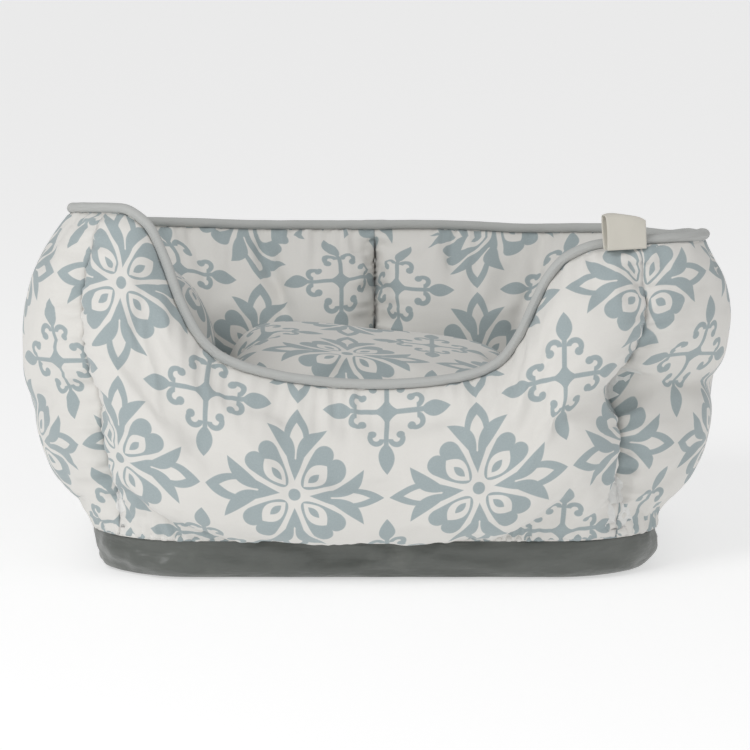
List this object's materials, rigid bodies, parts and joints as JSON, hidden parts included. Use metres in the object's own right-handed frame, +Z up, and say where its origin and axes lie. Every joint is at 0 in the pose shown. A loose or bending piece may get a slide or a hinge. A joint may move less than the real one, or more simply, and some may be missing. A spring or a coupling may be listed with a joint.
{
  "type": "pet cushion bed",
  "caption": "Rectangular soft pet bed with stuffed printed walls, a low front entry, a piped rim, a coated padded base and a loose zipped cushion.",
  "frame": {"origin": "centre of the footprint on the floor, at the underside of the base cover", "axes": "+Z up, -Y to the front with the low entry, +X to the right in a view of the front"},
  "size_m": [0.48, 0.4, 0.261],
  "materials": {
    "printed_cloth": "off-white woven polyester printed with grey-blue medallions, matt",
    "fibre_filling": "white polyester fibre wadding",
    "piping_cloth": "plain grey woven bias tape, matt",
    "piping_cord": "soft white filler cord",
    "coated_base_cloth": "dark grey coated nylon, slightly glossy",
    "floor_cloth": "plain grey lining cloth, matt",
    "zip_tape": "grey woven zip tape",
    "zip_nylon": "grey nylon",
    "zip_metal": "nickel",
    "label_ribbon": "cream woven ribbon",
    "thread": "pale grey polyester thread"
  },
  "bodies": {
    "bed": {"outer_front_panel": "printed_cloth", "outer_right_panel": "printed_cloth", "outer_left_panel": "printed_cloth", "outer_back_panel": "printed_cloth", "inner_front_panel": "printed_cloth", "inner_right_panel": "printed_cloth", "inner_left_panel": "printed_cloth", "inner_back_left_panel": "printed_cloth", "inner_back_right_panel": "printed_cloth", "front_wall_fill": "fibre_filling", "right_wall_fill": "fibre_filling", "left_wall_fill": "fibre_filling", "back_wall_fill": "fibre_filling", "base_pad": "fibre_filling", "rim_piping": "piping_cloth", "rim_piping_cord": "piping_cord", "base_cover": "coated_base_cloth", "floor_lining": "floor_cloth", "label": "label_ribbon", "back_seam_stitches": "thread", "corner_tacks": "thread"},
    "cushion": {"cushion_top_panel": "printed_cloth", "cushion_bottom_panel": "floor_cloth", "cushion_fill": "fibre_filling", "zip_tape_front": "zip_tape", "zip_tape_rear": "zip_tape", "zip_teeth": "zip_nylon", "zip_stops": "zip_metal"},
    "zip_slider": {"zip_slider": "zip_metal"}
  },
  "joints": [
    {"name": "cushion_lift", "type": "slide", "parent": "bed", "child": "cushion", "axis": [0, 0, 1], "range_m": [0, 0.26]},
    {"name": "zip_slide", "type": "slide", "parent": "cushion", "child": "zip_slider", "axis": [1, 0, 0], "range_m": [0, 0.125]}
  ]
}
